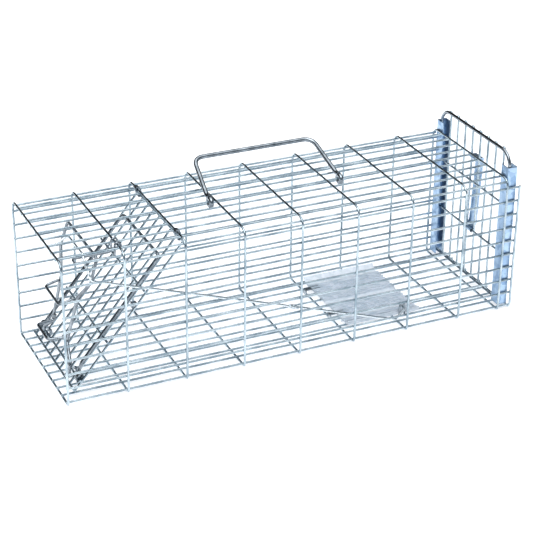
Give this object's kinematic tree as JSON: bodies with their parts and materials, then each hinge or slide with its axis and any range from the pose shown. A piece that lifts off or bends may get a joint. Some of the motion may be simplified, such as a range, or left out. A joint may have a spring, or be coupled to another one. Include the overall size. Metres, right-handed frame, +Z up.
{
  "type": "live catch trap",
  "caption": "Long welded wire cage trap with a sloping self-locking front door, a trip pan and trip rod, a sliding rear door with a latch, and a carry handle.",
  "frame": {"origin": "on the ground under the middle of the trap", "axes": "+X along the trap from the front door to the rear door, +Y to the far side, +Z up"},
  "size_m": [0.41, 0.1301, 0.1478],
  "materials": {
    "galvanised_mesh": "bright zinc coated welded wire",
    "galvanised_sheet": "zinc coated sheet, faint spangle",
    "crimped_clip": "dull zinc clips",
    "bright_rod": "bright drawn steel rod"
  },
  "bodies": {
    "cage": {"floor_grille": "galvanised_mesh", "roof_grille": "galvanised_mesh", "side_grille_near": "galvanised_mesh", "side_grille_far": "galvanised_mesh", "channel_near": "galvanised_sheet", "channel_far": "galvanised_sheet", "rod_guide": "bright_rod", "corner_clip": "crimped_clip"},
    "front_door_body": {"door_panel": "galvanised_mesh", "door_brace": "bright_rod", "hinge_clip_near": "crimped_clip", "hinge_clip_far": "crimped_clip", "lock_clip_near": "crimped_clip", "lock_clip_far": "crimped_clip"},
    "lock_frame_body": {"lock_frame": "bright_rod", "finger_loop": "bright_rod", "foot_loop": "bright_rod"},
    "trip_pan_body": {"pan_plate": "galvanised_sheet", "pan_clip_near": "crimped_clip", "pan_clip_far": "crimped_clip", "pan_eye": "bright_rod"},
    "trip_rod_body": {"trip_rod": "bright_rod", "rod_sleeve": "crimped_clip"},
    "rear_door_body": {"rear_door_panel": "galvanised_mesh"},
    "rear_latch_body": {"latch_strip": "galvanised_sheet"},
    "carry_handle_body": {"carry_handle": "bright_rod"}
  },
  "joints": [
    {"name": "front_door_hinge", "type": "hinge", "parent": "cage", "child": "front_door_body", "pos_m": [-0.1024, 0, 0.126], "axis": [0, 1, 0], "range_deg": [0, 36.5]},
    {"name": "lock_hinge", "type": "hinge", "parent": "front_door_body", "child": "lock_frame_body", "pos_m": [-0.18981, 0, 0.01357], "axis": [0, 1, 0], "range_deg": [0, 22.5]},
    {"name": "pan_hinge", "type": "hinge", "parent": "cage", "child": "trip_pan_body", "pos_m": [0.05, 0, 0.001], "axis": [0, -1, 0], "range_deg": [0, 8]},
    {"name": "trip_rod_pin", "type": "hinge", "parent": "trip_pan_body", "child": "trip_rod_body", "pos_m": [0.107, -0.0432, 0.0125], "axis": [0, 1, 0], "range_deg": [0, 6.8]},
    {"name": "rear_door_slide", "type": "slide", "parent": "cage", "child": "rear_door_body", "axis": [0, 0, 1], "range_m": [0, 0.108]},
    {"name": "latch_hinge", "type": "hinge", "parent": "rear_door_body", "child": "rear_latch_body", "pos_m": [0.1964, 0, 0.0521], "axis": [0, 1, 0], "range_deg": [-2.5, 12], "stiffness_Nm_per_rad": 0.02},
    {"name": "handle_hinge", "type": "hinge", "parent": "cage", "child": "carry_handle_body", "pos_m": [0.0043, 0, 0.1243], "axis": [-1, 0, 0], "range_deg": [-139, 6.4]}
  ],
  "couplings": [
    {"joint": "lock_hinge", "follows": "front_door_hinge", "ratio": 0.616},
    {"joint": "trip_rod_pin", "follows": "pan_hinge", "ratio": 0.842}
  ]
}
